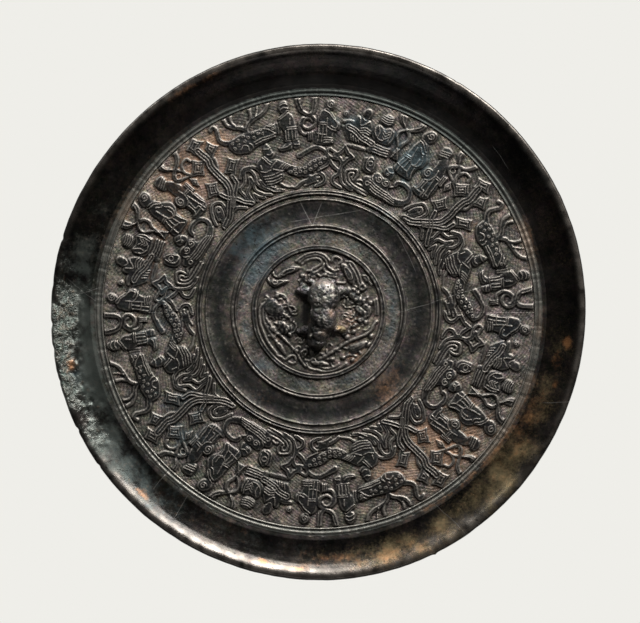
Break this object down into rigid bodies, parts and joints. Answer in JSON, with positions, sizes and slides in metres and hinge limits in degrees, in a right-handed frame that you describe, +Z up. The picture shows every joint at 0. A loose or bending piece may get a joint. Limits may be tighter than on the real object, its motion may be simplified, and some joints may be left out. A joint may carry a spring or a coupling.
{
  "type": "ancient bronze mirror",
  "caption": "Round cast bronze mirror lying face down: figured back with a beast-shaped cord knob, raised rings, a band of trees, cats and robed people, and a high rim.",
  "frame": {"origin": "centre of the flat polished face, which is the underside as the mirror lies", "axes": "+Z up through the figured back, +Y towards the tail end of the crouching beast on the knob, +X to the right of it, along the cord hole"},
  "size_m": [0.1848, 0.1854, 0.0104],
  "materials": {
    "patinated_bronze": "dark brown-black cast bronze with copper and grey-green patina, worn to a dull gloss on the rim"
  },
  "bodies": {
    "root": {"bronze_mirror": "patinated_bronze"}
  },
  "joints": []
}
